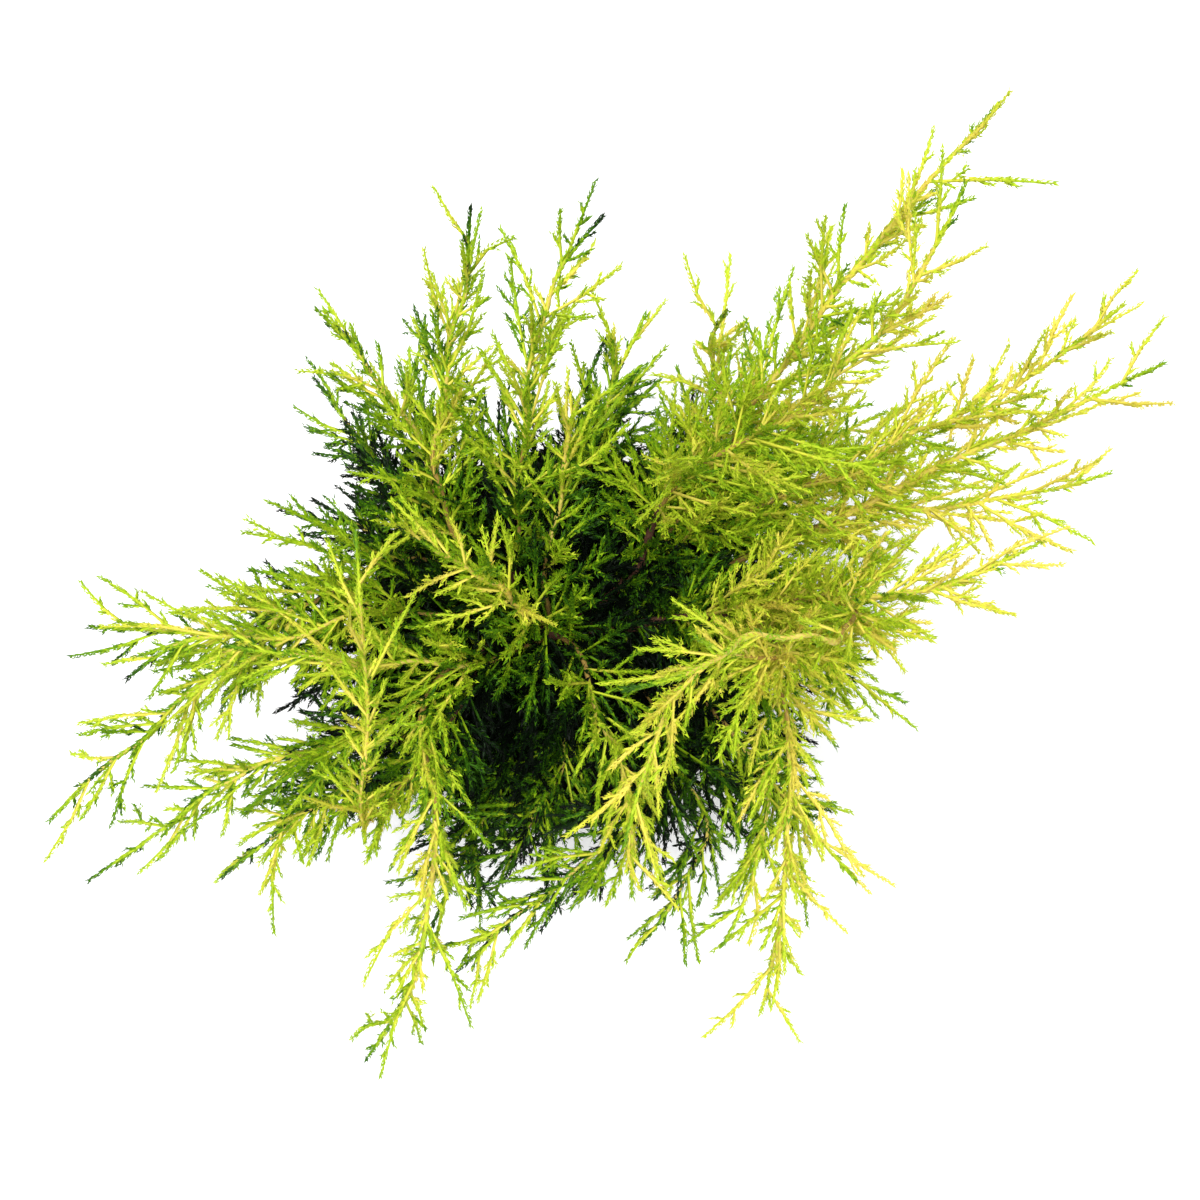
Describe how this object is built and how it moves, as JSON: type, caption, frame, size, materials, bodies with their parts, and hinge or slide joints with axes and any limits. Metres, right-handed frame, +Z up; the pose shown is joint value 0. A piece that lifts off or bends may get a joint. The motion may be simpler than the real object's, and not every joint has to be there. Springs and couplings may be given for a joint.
{
  "type": "potted old gold pfitzer juniper",
  "caption": "Low spreading conifer shrub: arching golden shoots on tapering boughs from a short leaning trunk, growing in a round tapered plastic nursery pot filled with compost.",
  "frame": {"origin": "centre of the pot's flat underside, on the ground", "axes": "+Z up; +Y towards the back of the plant, which is the top of the picture, taken from straight above; +X to its right"},
  "size_m": [0.6103, 0.5259, 0.5691],
  "materials": {
    "pot": "satin black",
    "compost": "loose dark bark compost",
    "bark": "scaly reddish brown",
    "gold_foliage": "soft golden green",
    "green_foliage": "soft mid green"
  },
  "bodies": {
    "root": {"pot": "pot", "compost": "compost", "trunk": "bark", "bough_back_right": "bark", "bough_right_back": "bark", "bough_right_low": "bark", "bough_right_top": "bark", "bough_right_crest": "bark", "bough_right_side": "bark", "bough_front_right": "bark", "bough_right_sweep": "bark", "bough_front": "bark", "bough_front_sweep": "bark", "bough_front_left": "bark", "bough_left_front": "bark", "bough_left": "bark", "bough_left_back": "bark", "bough_left_middle": "bark", "bough_back_left": "bark", "bough_back": "bark", "bough_back_over": "bark", "bough_back_side": "bark", "bough_right_fan": "bark", "bough_over_right": "bark", "bough_over_left": "bark", "foliage_back_right": "gold_foliage", "foliage_right_back": "gold_foliage", "foliage_right_low": "gold_foliage", "foliage_right_top": "gold_foliage", "foliage_right_crest": "gold_foliage", "foliage_right_side": "gold_foliage", "foliage_front_right": "green_foliage", "foliage_right_sweep": "gold_foliage", "foliage_front": "green_foliage", "foliage_front_sweep": "green_foliage", "foliage_front_left": "green_foliage", "foliage_left_front": "gold_foliage", "foliage_left": "gold_foliage", "foliage_left_back": "gold_foliage", "foliage_left_middle": "gold_foliage", "foliage_back_left": "gold_foliage", "foliage_back": "gold_foliage", "foliage_back_over": "gold_foliage", "foliage_back_side": "gold_foliage", "foliage_right_fan": "gold_foliage", "foliage_over_right": "gold_foliage", "foliage_over_left": "gold_foliage", "foliage_inner_front": "green_foliage", "foliage_inner_left": "green_foliage", "foliage_inner_back": "green_foliage", "foliage_inner_top": "green_foliage", "foliage_low_right": "green_foliage", "foliage_low_back": "green_foliage", "foliage_low_back_left": "green_foliage", "foliage_low_back_right": "green_foliage", "foliage_low_left_back": "green_foliage", "foliage_low_left": "green_foliage", "foliage_low_front": "green_foliage", "foliage_low_front_middle": "green_foliage", "foliage_low_front_side": "green_foliage"}
  },
  "joints": []
}
